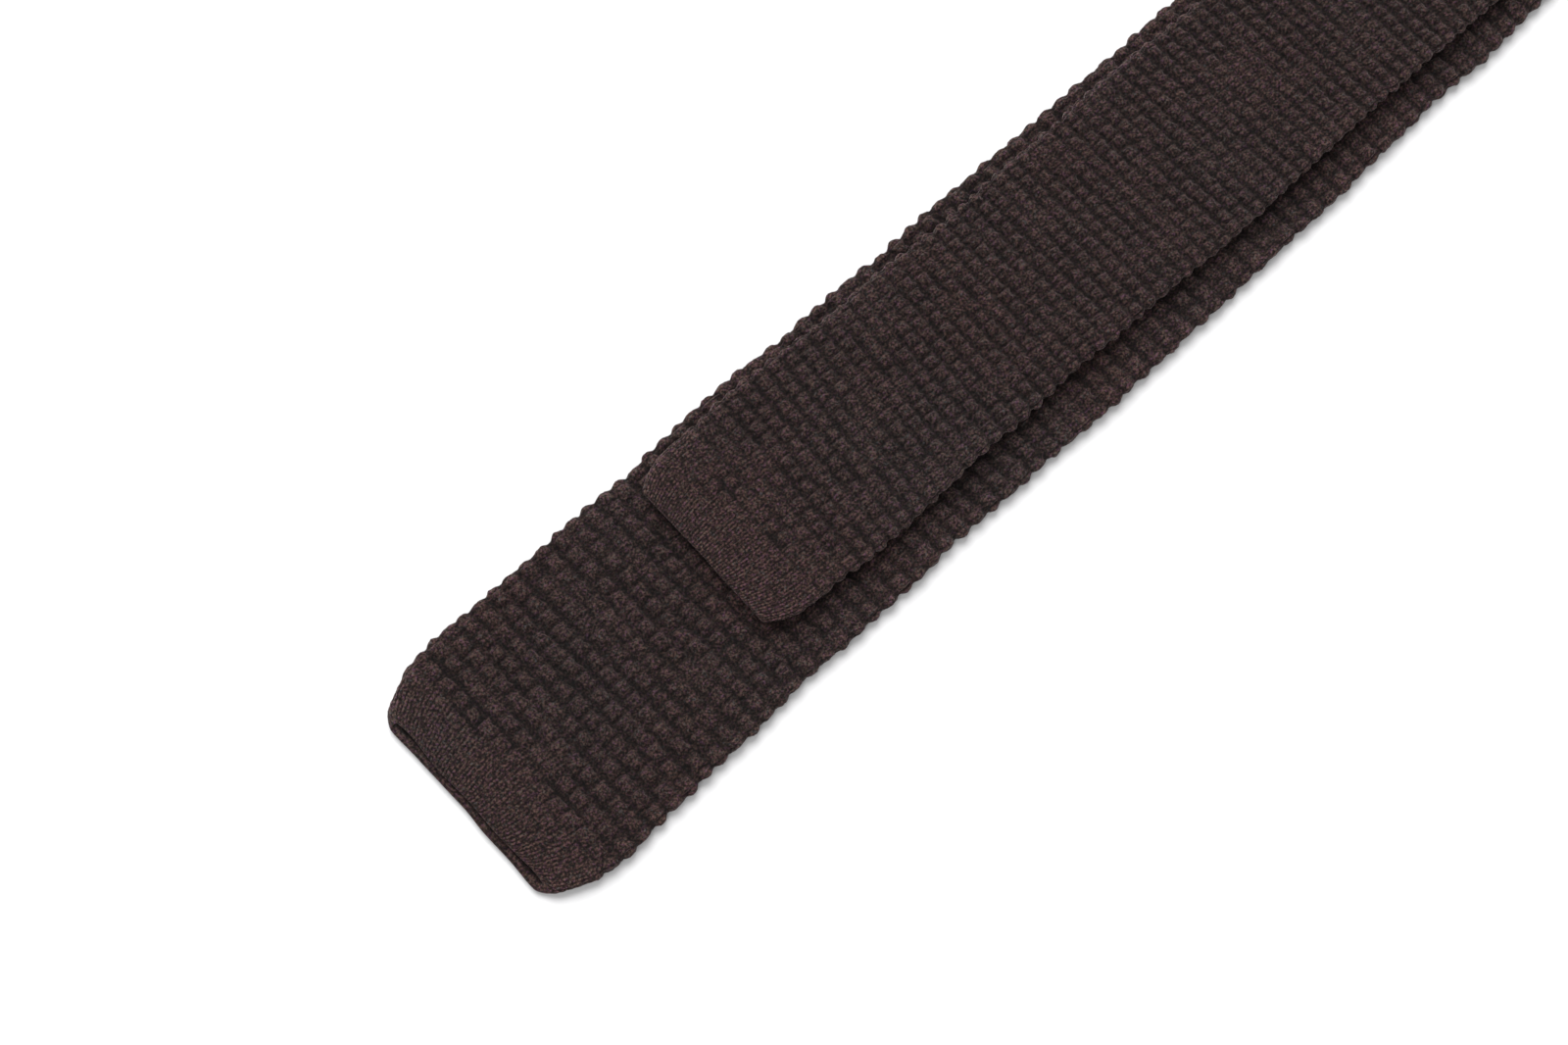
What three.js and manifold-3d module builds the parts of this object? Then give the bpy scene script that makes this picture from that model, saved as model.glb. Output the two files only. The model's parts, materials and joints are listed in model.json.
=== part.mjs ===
// A knitted wool necktie with square ends, folded once at the neck and laid flat:
// the blade lies underneath and the narrower tail lies on top of it.
//
// Units are millimetres. +X runs from the blade's end towards the neck fold, +Y across
// the tie, +Z up. The origin is at the centre of the bounding box's bottom face.
//
// The tie is one seamless knitted tube pressed flat, so every piece is placed by its
// distance `s` along the tube's centreline: 0 at the blade's end, then round the neck
// fold, and on to the tail's end. The side of the tie that faces inwards in the fold
// is its back.

import * as THREE from 'three';
import * as BufferGeometryUtils from 'three/addons/utils/BufferGeometryUtils.js';
import Module from 'manifold-3d';

const wasm = await Module();
wasm.setup();

// ---- Driving dimensions -----------------------------------------------------------

const BLADE_RUN = 772;          // blade's end to the start of the neck fold
const TAIL_SETBACK = 70.6;      // how far the tail's end lies behind the blade's end
const THICKNESS = 4.2;          // the flattened tube, both walls
const LAYER_GAP = 0.4;          // air between the blade and the tail lying on it
const NECK_RADIUS = 3.5;        // centreline radius of the soft fold at the neck
const SETTLE_LENGTH = 60;       // length over which the tail sinks from fold to blade
const TAIL_SHIFT = 5;           // sideways offset of the tail's end on the blade
const SHIFT_POWER = 4;          // how fast that offset dies away towards the neck

const KNIT_WALL = 1.7;          // bumpy tuck-stitch wall
const HEM_WALL = 0.9;           // fine plain-knit wall of the two ends
const HEM_DEPTH = 14;           // how far the turned-in hem reaches into the tube
const CLEARANCE = 0.3;          // air between neighbouring pieces
const NECK_TRIM = THREE.MathUtils.degToRad(18);   // fold left open beside each neck hinge

const BLADE_END_LENGTH = 58;    // free end of the blade, lifted as one piece
const TAIL_END_LENGTH = 80;     // free end of the tail, lifted as one piece

const TAPE_WIDTH = 12;          // woven stay tape inside the neck
const TAPE_THICKNESS = 0.3;
const TAPE_REACH = 200;         // tape length on each side of the neck fold

const KEEPER_AT = 215;          // keeper loop, measured from the blade's end
const KEEPER_WIDTH = 10;
const KEEPER_SPAN = 34;
const KEEPER_THICKNESS = 0.5;
const KEEPER_RECESS = 0.75;     // how far the loop presses into the blade's back

// Flat width at a distance from each end: [distance, width].
const BLADE_WIDTHS = [[0, 43], [1, 47.5], [2.5, 50.5], [5, 53.2], [10, 57.8], [14, 59.6], [20, 61],
  [28, 61], [50, 59.4], [110, 58.4], [200, 56], [420, 46], [620, 39], [BLADE_RUN, 38]];
const TAIL_RUN = BLADE_RUN - TAIL_SETBACK;
const TAIL_WIDTHS = [[0, 37.5], [2, 40], [6, 43.5], [10, 45.2], [16, 45.8], [32, 45.4],
  [50, 44.4], [70, 43.6], [110, 43.6], [300, 40.5], [TAIL_RUN, 38]];

// ---- Values worked out from them ----------------------------------------------------

const HALF = THICKNESS / 2;
const LAYER_PITCH = THICKNESS + LAYER_GAP;
const FOLD_LENGTH = Math.PI * NECK_RADIUS;
const TAIL_START = BLADE_RUN + FOLD_LENGTH;
const TOTAL = TAIL_START + TAIL_RUN;
const BORE_HALF = HALF - KNIT_WALL;
const HEM_BORE_HALF = HALF - HEM_WALL;
const CENTRE_X = (BLADE_RUN + NECK_RADIUS + HALF) / 2;
const NECK_FROM = BLADE_RUN + NECK_TRIM * NECK_RADIUS;
const NECK_TO = TAIL_START - NECK_TRIM * NECK_RADIUS;
const TAIL_END_FROM = TOTAL - TAIL_END_LENGTH;
const LONG_BAND = 90;           // bands longer than this have their sections wider apart
const LONG_STEP = 20;
const SHORT_STEP = 2.5;

// ---- Centreline and width ----------------------------------------------------------

// Point of the centreline at distance s, with the unit normal that points to the back.
function centreline(s) {
  if (s <= BLADE_RUN) {
    return { x: s, y: 0, z: HALF, nx: 0, nz: 1 };
  }
  if (s <= TAIL_START) {
    const turn = (s - BLADE_RUN) / NECK_RADIUS;
    return {
      x: BLADE_RUN + NECK_RADIUS * Math.sin(turn),
      y: 0,
      z: HALF + NECK_RADIUS * (1 - Math.cos(turn)),
      nx: -Math.sin(turn),
      nz: Math.cos(turn),
    };
  }
  const run = s - TAIL_START;
  const sink = Math.min(run / SETTLE_LENGTH, 1);
  const drop = 2 * NECK_RADIUS - LAYER_PITCH;
  const slope = -6 * drop * sink * (1 - sink) / SETTLE_LENGTH;
  const length = Math.hypot(1, slope);
  return {
    x: BLADE_RUN - run,
    y: TAIL_SHIFT * Math.min(run / TAIL_RUN, 1) ** SHIFT_POWER,
    z: HALF + 2 * NECK_RADIUS - drop * sink * sink * (3 - 2 * sink),
    nx: -slope / length,
    nz: -1 / length,
  };
}

function widthFromStations(stations, distance) {
  const at = THREE.MathUtils.clamp(distance, 0, stations.at(-1)[0]);
  const next = Math.max(1, stations.findIndex(([place]) => place >= at));
  const [x0, w0] = stations[next - 1];
  const [x1, w1] = stations[next];
  return THREE.MathUtils.mapLinear(at, x0, x1, w0, w1);
}

function halfWidth(s) {
  const onBlade = s < BLADE_RUN + FOLD_LENGTH / 2;
  return (onBlade
    ? widthFromStations(BLADE_WIDTHS, s)
    : widthFromStations(TAIL_WIDTHS, TOTAL - s)) / 2;
}

// Places a point given as distance along, offset across and offset towards the back.
function place(s, across, inward) {
  const c = centreline(s);
  return new THREE.Vector3(c.x - CENTRE_X + inward * c.nx, c.y + across, c.z + inward * c.nz);
}

// ---- Shape builders ----------------------------------------------------------------

// Flat-sided, round-edged outline: half height 1, flat half length 1.
function bandOutline() {
  const outline = new THREE.Shape();
  outline.moveTo(-1, -1);
  outline.lineTo(1, -1);
  outline.absarc(1, 0, 1, -Math.PI / 2, Math.PI / 2, false);
  outline.lineTo(-1, 1);
  outline.absarc(-1, 0, 1, Math.PI / 2, 1.5 * Math.PI, false);
  return outline;
}

// A flat band that follows the centreline from one distance to another. halfWide is a
// number or a function of s, and the band's edges are round at half its height.
function band(from, to, halfWide, halfHigh, shift = 0) {
  const sectionGap = to - from < LONG_BAND ? SHORT_STEP : LONG_STEP;
  const geometry = new THREE.ExtrudeGeometry(bandOutline(), {
    depth: 1, steps: Math.ceil((to - from) / sectionGap), bevelEnabled: false, curveSegments: 3,
  });
  const position = geometry.attributes.position;
  for (let i = 0; i < position.count; i += 1) {
    const s = THREE.MathUtils.lerp(from, to, position.getZ(i));
    const wide = typeof halfWide === 'function' ? halfWide(s) : halfWide;
    const u = position.getX(i);
    const flat = wide - halfHigh;
    const edge = Math.sign(u) * (flat + (Math.abs(u) - 1) * halfHigh);
    const across = Math.abs(u) > 1 ? edge : u * flat;
    const point = place(s, across + shift, position.getY(i) * halfHigh);
    position.setXYZ(i, point.x, point.y, point.z);
  }
  return geometry;
}

// A thread of round section through points given as [s, across, inward].
function thread(points, radius) {
  const route = new THREE.CatmullRomCurve3(points.map(([s, across, inward]) => place(s, across, inward)));
  const section = new THREE.Shape().absarc(0, 0, radius, 0, 2 * Math.PI, false);
  return new THREE.ExtrudeGeometry(section, {
    extrudePath: route, steps: 2 * points.length, curveSegments: 2, bevelEnabled: false,
  });
}

function solid(geometry) {
  const bare = geometry.clone();
  bare.deleteAttribute('normal');
  bare.deleteAttribute('uv');
  const merged = BufferGeometryUtils.mergeVertices(bare, 1e-4);
  return new wasm.Manifold(new wasm.Mesh({
    numProp: 3,
    vertProperties: new Float32Array(merged.attributes.position.array),
    triVerts: new Uint32Array(merged.index.array),
  }));
}

function toGeometry(body) {
  const mesh = body.getMesh();
  const geometry = new THREE.BufferGeometry();
  geometry.setAttribute('position', new THREE.BufferAttribute(new Float32Array(mesh.vertProperties), 3));
  geometry.setIndex(new THREE.BufferAttribute(new Uint32Array(mesh.triVerts), 1));
  return geometry;
}

// ---- Materials ---------------------------------------------------------------------

const materials = {
  wool: { color: 0x2e2320, roughness: 0.95, metalness: 0 },
  hem: { color: 0x33281f, roughness: 0.95, metalness: 0 },
  tape: { color: 0x3a302a, roughness: 0.9, metalness: 0 },
  thread: { color: 0x241a17, roughness: 0.7, metalness: 0 },
};

const tie = new THREE.Group();
tie.name = 'necktie';

function addPiece(name, geometry, look) {
  const mesh = new THREE.Mesh(geometry, new THREE.MeshStandardMaterial(materials[look]));
  mesh.name = name;
  tie.add(mesh);
}

// ---- Knitted tube ------------------------------------------------------------------

const boreWidth = (s) => halfWidth(s) - KNIT_WALL;
const hemBoreWidth = (s) => halfWidth(s) - HEM_WALL;
const OVERRUN = 1;              // how far each bore runs past the piece it opens

function knitTube(from, to) {
  const outside = solid(band(from, to, halfWidth, HALF));
  return outside.subtract(solid(band(from - OVERRUN, to + OVERRUN, boreWidth, BORE_HALF)));
}

// A stretch with a finished end: its bore is taller where the hem is turned in.
function finishedEnd(from, to, hemFrom, hemTo) {
  const mouth = solid(band(hemFrom, hemTo, hemBoreWidth, HEM_BORE_HALF));
  return knitTube(from, to).subtract(mouth);
}

function buildKnit() {
  const recess = new THREE.BoxGeometry(
    KEEPER_WIDTH + 2 * CLEARANCE, KEEPER_SPAN + 4 * KEEPER_TACK + 2 * CLEARANCE, 2 * KEEPER_RECESS,
  );
  const recessAt = place(KEEPER_AT, 0, HALF);
  recess.translate(recessAt.x, recessAt.y, recessAt.z);

  const blade = knitTube(BLADE_END_LENGTH + CLEARANCE, BLADE_RUN).subtract(solid(recess));
  addPiece('blade_knit', toGeometry(blade), 'wool');
  addPiece('neck_knit', toGeometry(knitTube(NECK_FROM, NECK_TO)), 'wool');
  addPiece('tail_knit', toGeometry(knitTube(TAIL_START, TAIL_END_FROM - CLEARANCE)), 'wool');

  const bladeEnd = finishedEnd(0, BLADE_END_LENGTH, -OVERRUN, HEM_DEPTH + OVERRUN);
  addPiece('blade_end_knit', toGeometry(bladeEnd), 'wool');
  const tailEnd = finishedEnd(TAIL_END_FROM, TOTAL, TOTAL - HEM_DEPTH - OVERRUN, TOTAL + OVERRUN);
  addPiece('tail_end_knit', toGeometry(tailEnd), 'wool');
}

// ---- Ends: turned-in hem and the thread that closes the mouth ---------------------------

const FACING_FROM = 2.6;        // the facing starts this far inside the lips
const FACING_WALL = 0.6;
const CLOSING_INSET = 1;        // the closing thread lies this far inside the lips
const CLOSING_PITCH = 4;        // one whip stitch every second wale
const CLOSING_SWING = 0.4;
const THREAD_RADIUS = 0.25;

function hemFacing(from, to) {
  const outerWidth = (s) => hemBoreWidth(s) - CLEARANCE;
  const innerWidth = (s) => outerWidth(s) - FACING_WALL;
  const outerHalf = HEM_BORE_HALF - CLEARANCE;
  const outside = solid(band(from, to, outerWidth, outerHalf));
  const inside = solid(band(from - OVERRUN, to + OVERRUN, innerWidth, outerHalf - FACING_WALL));
  return toGeometry(outside.subtract(inside));
}

function closingThread(s) {
  const reach = halfWidth(s) - 2 * HEM_WALL - HALF;
  const stitches = Math.floor(2 * reach / CLOSING_PITCH);
  const points = [];
  for (let i = 0; i <= 2 * stitches; i += 1) {
    const across = -reach + (i * reach) / stitches;
    points.push([s, across, i % 2 ? CLOSING_SWING : -CLOSING_SWING]);
  }
  return thread(points, THREAD_RADIUS);
}

function buildEnds() {
  addPiece('blade_hem_facing', hemFacing(FACING_FROM, HEM_DEPTH), 'hem');
  addPiece('blade_closing_thread', closingThread(CLOSING_INSET), 'thread');
  addPiece('tail_hem_facing', hemFacing(TOTAL - HEM_DEPTH, TOTAL - FACING_FROM), 'hem');
  addPiece('tail_closing_thread', closingThread(TOTAL - CLOSING_INSET), 'thread');
}

// ---- Neck stay tape, sewn inside the tube at its two ends -------------------------------

const TACK_STITCHES = 10;
const TACK_LENGTH = 2.4;
const TACK_RADIUS = 0.15;

// A zigzag bar tack: one thread that runs to and fro along the tie as it crosses it.
function barTack(from, to) {
  const points = [];
  for (let i = 0; i <= TACK_STITCHES; i += 1) {
    const across = (i / TACK_STITCHES - 0.5) * (TAPE_WIDTH - 2 * TACK_RADIUS);
    points.push([i % 2 ? to - TACK_RADIUS : from + TACK_RADIUS, across, 0]);
  }
  return thread(points, TACK_RADIUS);
}

function buildTape() {
  const halfTape = TAPE_WIDTH / 2;
  const thin = TAPE_THICKNESS / 2;
  const bladeEdge = BLADE_RUN - TAPE_REACH;
  const tailEdge = TAIL_START + TAPE_REACH;
  addPiece('neck_tape_blade_side', band(bladeEdge, BLADE_RUN, halfTape, thin), 'tape');
  addPiece('neck_tape_middle', band(NECK_FROM, NECK_TO, halfTape, thin), 'tape');
  addPiece('neck_tape_tail_side', band(TAIL_START, tailEdge, halfTape, thin), 'tape');
  const bladeTack = bladeEdge - CLEARANCE;
  const tailTack = tailEdge + CLEARANCE;
  addPiece('tape_tack_blade_side', barTack(bladeTack - TACK_LENGTH, bladeTack), 'thread');
  addPiece('tape_tack_tail_side', barTack(tailTack, tailTack + TACK_LENGTH), 'thread');
}

// ---- Keeper loop on the blade's back ---------------------------------------------------

const KEEPER_TACK = 1.4;        // width of the thread bar that holds each end
const KEEPER_CORNER = 0.6;

function roundedPlate(length, width, thickness, corner) {
  const x = length / 2 - corner;
  const y = width / 2 - corner;
  const outline = new THREE.Shape();
  outline.absarc(x, y, corner, 0, Math.PI / 2, false);
  outline.absarc(-x, y, corner, Math.PI / 2, Math.PI, false);
  outline.absarc(-x, -y, corner, Math.PI, 1.5 * Math.PI, false);
  outline.absarc(x, -y, corner, 1.5 * Math.PI, 2 * Math.PI, false);
  const plate = new THREE.ExtrudeGeometry(outline, { depth: thickness, bevelEnabled: false, curveSegments: 4 });
  return plate.translate(0, 0, -thickness / 2);
}

function buildKeeper() {
  const level = HALF - KEEPER_RECESS + CLEARANCE + KEEPER_THICKNESS / 2;
  const middle = place(KEEPER_AT, 0, level);
  const loop = roundedPlate(KEEPER_WIDTH, KEEPER_SPAN, KEEPER_THICKNESS, KEEPER_CORNER);
  addPiece('keeper_loop', loop.translate(middle.x, middle.y, middle.z), 'hem');
  for (const [name, side] of [['keeper_tack_left', 1], ['keeper_tack_right', -1]]) {
    const bar = roundedPlate(KEEPER_WIDTH, KEEPER_TACK, KEEPER_THICKNESS, KEEPER_CORNER);
    const across = side * (KEEPER_SPAN / 2 + CLEARANCE + KEEPER_TACK / 2);
    addPiece(name, bar.translate(middle.x, middle.y + across, middle.z), 'thread');
  }
}

buildKnit();
buildEnds();
buildTape();
buildKeeper();

export default tie;
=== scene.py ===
"""A knitted wool necktie with square ends, folded once at the neck, on a pale floor.

Lengths inside the script are millimetres, in the CAD frame, and become metres when a mesh
is made. Every fabric piece is placed by its distance s along the knitted tube's centreline:
0 at the blade's end, then round the neck fold, and on to the tail's end.

Every cloth and thread mesh has a point attribute, "knit", for its material: how plain the
knit is from 0 to 1, the place round the tube in bumps, from which the material paints lines
of shade between the legs of plain stitches and a rim highlight along the long edges, and a
shade from groove 0 to top 1, by which it paints shade into the grooves and the gaps between courses.
"""

import json
import math

import bmesh
import bpy
import numpy as np
from mathutils import Matrix, Vector


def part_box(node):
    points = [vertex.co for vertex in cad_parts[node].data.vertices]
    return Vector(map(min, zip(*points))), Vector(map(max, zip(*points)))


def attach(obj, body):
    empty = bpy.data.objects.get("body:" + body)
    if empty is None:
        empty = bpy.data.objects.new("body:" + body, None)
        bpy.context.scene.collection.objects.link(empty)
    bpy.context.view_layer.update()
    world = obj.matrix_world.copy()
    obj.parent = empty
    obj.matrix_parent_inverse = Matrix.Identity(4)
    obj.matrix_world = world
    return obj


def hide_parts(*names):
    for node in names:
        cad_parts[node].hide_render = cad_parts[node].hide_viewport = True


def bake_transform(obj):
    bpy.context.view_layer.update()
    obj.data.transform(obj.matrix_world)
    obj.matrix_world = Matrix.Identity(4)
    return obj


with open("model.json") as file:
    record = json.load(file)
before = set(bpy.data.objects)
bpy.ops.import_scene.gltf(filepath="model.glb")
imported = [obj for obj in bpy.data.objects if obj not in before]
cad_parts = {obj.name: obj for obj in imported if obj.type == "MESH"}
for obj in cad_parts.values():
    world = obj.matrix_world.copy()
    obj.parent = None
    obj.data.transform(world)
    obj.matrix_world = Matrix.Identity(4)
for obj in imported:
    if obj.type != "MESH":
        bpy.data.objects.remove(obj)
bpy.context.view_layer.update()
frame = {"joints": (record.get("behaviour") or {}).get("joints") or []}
MM = 0.001
TINY = 1e-6


# ---- Sizes read from the frame ----

def corners(node):
    low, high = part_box(node)
    return np.array(low) / MM, np.array(high) / MM


def joint_point(name):
    joint = next(j for j in frame["joints"] if j["name"] == name)
    return np.array(joint["pos_m"]) / MM


blade_low, blade_high = corners("blade_end_knit")
tail_low, tail_high = corners("tail_end_knit")
fold_hinge = joint_point("neck_fold_blade_side")
fold_hinge_back = joint_point("neck_fold_tail_side")

HALF = (blade_high[2] - blade_low[2]) / 2
NECK_RADIUS = (fold_hinge[2] + fold_hinge_back[2]) / 2 - HALF
FOLD_X = fold_hinge[0] - NECK_RADIUS * math.pi / 4
BLADE_RUN = FOLD_X - blade_low[0]
TAIL_RUN = FOLD_X - tail_low[0]
LAYER_PITCH = tail_low[2]
FOLD_LENGTH = math.pi * NECK_RADIUS
TAIL_START = BLADE_RUN + FOLD_LENGTH
TOTAL = TAIL_START + TAIL_RUN

keeper_low, keeper_high = corners("keeper_loop")
KEEPER_AT = (keeper_low[0] + keeper_high[0]) / 2 - blade_low[0]
KEEPER_SPAN = 2 * corners("keeper_tack_left")[1][1]     # its width with the stitches
KEEPER_GAP = 0.15       # room between the keeper loop and the knit under it
KEEPER_PRESS = 2 * HALF - keeper_low[2] + KEEPER_GAP

# ---- Shape of the tie ----

SETTLE_LENGTH = 60      # length over which the tail sinks from fold to blade
TAIL_SHIFT = 5          # sideways offset of the tail's end on the blade
SHIFT_POWER = 4         # how fast that offset dies away towards the neck

BLADE_SWAY = 1.1        # the blade lies in a slight curve, sideways, around this place
SWAY_AT = 95
SWAY_LENGTH = 55

# Flat width at a distance from each end: [distance, width].
BLADE_WIDTHS = [[0, 46.5], [1, 50], [2.5, 52.4], [5, 54.8], [10, 58.3], [14, 59.8], [20, 61],
                [28, 61], [50, 59.4], [110, 58.4], [200, 56], [420, 46], [620, 39], [BLADE_RUN, 38]]
TAIL_WIDTHS = [[0, 37.5], [2, 40], [6, 43.5], [10, 45.2], [16, 45.8], [32, 45.4],
               [50, 44.4], [70, 43.6], [110, 43.6], [300, 40.5], [TAIL_RUN, 38]]

# Length of one knit course, a row of bumps, at a distance from each end.
BLADE_COURSES = [[0, 4.3], [60, 4.3], [BLADE_RUN, 3.25]]
TAIL_COURSES = [[0, 3.75], [40, 3.68], [100, 3.4], [140, 3.32], [TAIL_RUN, 3.25]]

# How far the courses slant: distance along the tie per distance across it.
BLADE_SLANT = [[0, 0.0], [20, 0.021], [300, 0.021], [BLADE_RUN, 0.0]]
TAIL_SLANT = [[0, 0.02], [40, 0.053], [100, -0.034], [140, -0.064], [240, -0.03], [TAIL_RUN, 0.0]]

BUMPS_ROUND = 30        # bumps round the tube, 15 on each face
BUMP_DEPTH = 1.40       # depth of the grooves between the blade's widest courses
INTERLOCK = 0.14        # how far a bump reaches into the next course, in courses
HEM_PLAIN = 2           # plain-knit end, before the bumps begin
HEM_FADE = 21           # distance from the end where the bumps are full
PLAIN_COURSE = 1.45     # length of a plain stitch
PLAIN_DEPTH = 0.42      # depth of the grooves between plain stitches
LEG_SLANT = 0.8         # how far a plain stitch's leg slants, in stitches
LEG_ROUND = 0.9         # how round a leg is across
LEG_TAPER = 0.8         # and towards its ends
DRIFT = 0.12            # how far courses wander, in courses
DRIFT_PATCH = 5         # over this many courses and bumps
SIDE_DRIFT = 0.14       # how far columns of bumps wander, in bumps
SIDE_DRIFT_COURSES = 4  # over this many courses
SIDE_DRIFT_BUMPS = 3    # and bumps
DRIFT_OFFSET = 0.37     # keeps the two drifts from changing at the same courses
TAIL_LOOSE = 0.5        # the tail's knit wanders less than the blade's
GRAIN = 0.15            # unevenness of the yarn
GRAIN_LENGTH = 0.9      # length of one uneven spot
GRAIN_SPOTS = 5         # spots across one bump
PLAIN_GRAIN = 0.35      # share of the unevenness that is left in plain knit
NAP = 0.065             # roughness of its hairy surface
PLAIN_NAP = 0.5         # share of the roughness that is left in plain knit
EDGE_CALM = 0.35        # share of the relief that is lost along the long edges
EDGE_CALM_REACH = 0.04  # within this share of the way round
STRAY = 0.06            # how far one bump strays from its place, in bumps and courses
SIZE_SPREAD = 0.2       # how much bumps differ in height, as a share
SQUARENESS = 2.2        # a bump's outline: 2 is round, more is squarer
NARROWNESS = 0.96       # 1 ends a bump at the edges of its place, less makes it wider
NARROW_SPREAD = 0.08    # how much bumps differ in this
TALLEST = 1.15          # no bump is taller than this share of the usual height
TURN = 0.6              # how far the parting of a bump turns, in radians
PARTING = 0.28          # depth of the parting between a bump's two strands, as a share
PARTING_WIDTH = 0.06    # its half width, in bumps
SADDLE = 0.18           # height of the knit between two bumps of a course, as a share
FADE_SPREAD = 0.5       # how unevenly the bumps fade into the plain ends
FADE_LENGTH = 5         # length of a patch of that
FADE_BUMPS = 2          # and its width, in bumps
RELIEF_SPREAD = 0.35    # how much patches of the knit differ in depth
RELIEF_LENGTH = 6       # length of such a patch
RELIEF_BUMPS = 3        # and its width, in bumps
BLADE_ROW_SHADE = 0.35   # painted shade: how much darker the gaps between courses are than other gaps
TAIL_ROW_SHADE = 0.6
ROW_SHADE_WIDTH = 0.10   # half width of this painted shade, in courses
PLAIN_SHADE = 0.85      # painted shade: the shade of the tops of plain stitches
PLAIN_CONTRAST = 1.4    # and how fast the painted shade darkens them towards their grooves

KNIT_WALL = 1.9         # thickness of the knit
DEEPEST = 1.7           # no groove goes deeper than this
HEM_DEPTH = 16          # how far the turned-in hem and the room for it reach
HEM_WALL = 0.8          # the knit is this thin outside the turned-in hem
LIP_WALL = 1.1          # and this thick at the mouth, where it is two layers of fine knit
LIP_DEPTH = 2.4         # as far in as this
LIP_RINGS = 8           # mesh rows that roll a lip over
LIP_SHADE = 0.9         # painted highlight: a lip's outermost line is painted at least this light
LIP_SHADE_FROM = 0.9    # painted shade darkens the inside of the mouth from here on
LIP_SHADE_LENGTH = 0.8  # over this length
OUTER_SKIN = HEM_WALL + KNIT_WALL / 2       # less deep than this is the outer skin
PRESS_EASE = 1.5        # the keeper's press on the knit fades over this length,
PRESS_REACH = 1.3       # which ends so many such lengths beyond the loop
PRESSED_RELIEF = 0.7    # share of the relief that it presses away

LIP_SETBACK = 1.7       # the upper lip of the blade's mouth lies this far behind the lower
SETBACK_SPREAD = 0.3    # how uneven that is, as a share
SETBACK_PATCH = 9       # over this width
TAIL_UNDERCUT = 0.9     # and the lower lip of the tail's this far behind the upper
UNDERCUT_REACH = 5      # which fades over this length
LIP_WAVE = 0.45         # how far the ends stray from a straight line
LIP_WAVE_PATCH = 7      # over this width
TAIL_LIP_WAVE = 0.5     # share of it at the tail
LIP_REACH = 16          # how far from the ends the mesh follows the shape of the lips
END_BULGE = 0.2         # the blade's end bulges out by this much in its middle
BULGE_WIDTH = 28        # half width of the bulge
END_THIN = 0.7          # the ends are this much thinner on each face
THIN_REACH = 12         # which fades over this length
LIP_DROP = 0.35         # and the blade's upper lip lies lower by this
DROP_REACH = 7          # which fades over this length
EDGE_WANDER = 0.45      # how far the long edges stray from straight
WANDER_PATCH = 14       # over this length
WANDER_FROM = 10        # and fully so from this far behind the ends


def stations(table, distance):
    """Smooth curve through [distance, value] stations."""
    x, y = np.array(table, float).T
    distance = np.clip(distance, x[0], x[-1])
    slope = np.gradient(y, x)
    i = np.clip(np.searchsorted(x, distance, side="right") - 1, 0, len(x) - 2)
    span = x[i + 1] - x[i]
    t = (distance - x[i]) / span
    rise = t * t * (3 - 2 * t)
    ease_in = t * (1 - t) ** 2 * span * slope[i]
    ease_out = t * t * (1 - t) * span * slope[i + 1]
    return y[i] + (y[i + 1] - y[i]) * rise + ease_in - ease_out


def by_end(s, blade_table, tail_table):
    """A value that runs from the blade's end to the fold, and from the tail's end to it."""
    s = np.asarray(s, float)
    on_blade = s < BLADE_RUN + FOLD_LENGTH / 2
    return np.where(on_blade, stations(blade_table, s), stations(tail_table, TOTAL - s))


def from_end(s):
    return np.minimum(s, TOTAL - s)


def smooth(t):
    t = np.clip(t, 0, 1)
    return t * t * (3 - 2 * t)


def centreline(s):
    """Points of the centreline and the unit normals that point to the tie's back."""
    s = np.asarray(s, float)
    turn = np.clip((s - BLADE_RUN) / NECK_RADIUS, 0, math.pi)
    run = np.clip(s - TAIL_START, 0, None)
    drop = 2 * NECK_RADIUS - LAYER_PITCH
    sink = np.clip(run / SETTLE_LENGTH, 0, 1)
    slope = -6 * drop * sink * (1 - sink) / SETTLE_LENGTH
    x = FOLD_X - np.clip(BLADE_RUN - s, 0, None) + NECK_RADIUS * np.sin(turn) - run
    sway = BLADE_SWAY * np.exp(-((s - SWAY_AT) / SWAY_LENGTH) ** 2)
    y = TAIL_SHIFT * np.clip(run / TAIL_RUN, 0, 1) ** SHIFT_POWER + sway
    z = HALF + NECK_RADIUS * (1 - np.cos(turn)) - drop * smooth(sink)
    on_tail = s > TAIL_START
    length = np.hypot(1, slope)
    nx = np.where(on_tail, -slope / length, -np.sin(turn))
    nz = np.where(on_tail, -1 / length, np.cos(turn))
    return np.stack([x, y, z], -1), np.stack([nx, 0 * nx, nz], -1)


# ---- Seeded smooth noise ----

CELLS = 512             # the noise repeats after so many cells in x
LINE_WRAP = 8           # cells in y of a noise that is used along one line


def noise(x, y, seed, wrap):
    """Value noise from -1 to 1 that repeats every `wrap` cells in y."""
    table = np.random.default_rng(seed).uniform(-1, 1, (CELLS, wrap))
    xi, yi = np.floor(x).astype(int), np.floor(y).astype(int)
    tx, ty = smooth(x - xi), smooth(y - yi)
    a = table[xi % CELLS, yi % wrap]
    b = table[(xi + 1) % CELLS, yi % wrap]
    c = table[xi % CELLS, (yi + 1) % wrap]
    d = table[(xi + 1) % CELLS, (yi + 1) % wrap]
    return (a * (1 - tx) + b * tx) * (1 - ty) + (c * (1 - tx) + d * tx) * ty


def line_noise(x, seed):
    return noise(x, 0 * x, seed, LINE_WRAP)


def knit_noise(along, bump, width, seed):
    """Noise in cells that are `width` bumps wide."""
    return noise(along, bump / width, seed, BUMPS_ROUND // width)


def per_bump(i, j, seed):
    """One random number from -1 to 1 for each bump of the knit."""
    table = np.random.default_rng(seed).uniform(-1, 1, (CELLS, BUMPS_ROUND))
    return table[i % CELLS, j % BUMPS_ROUND]


# ---- Knit relief ----

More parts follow.
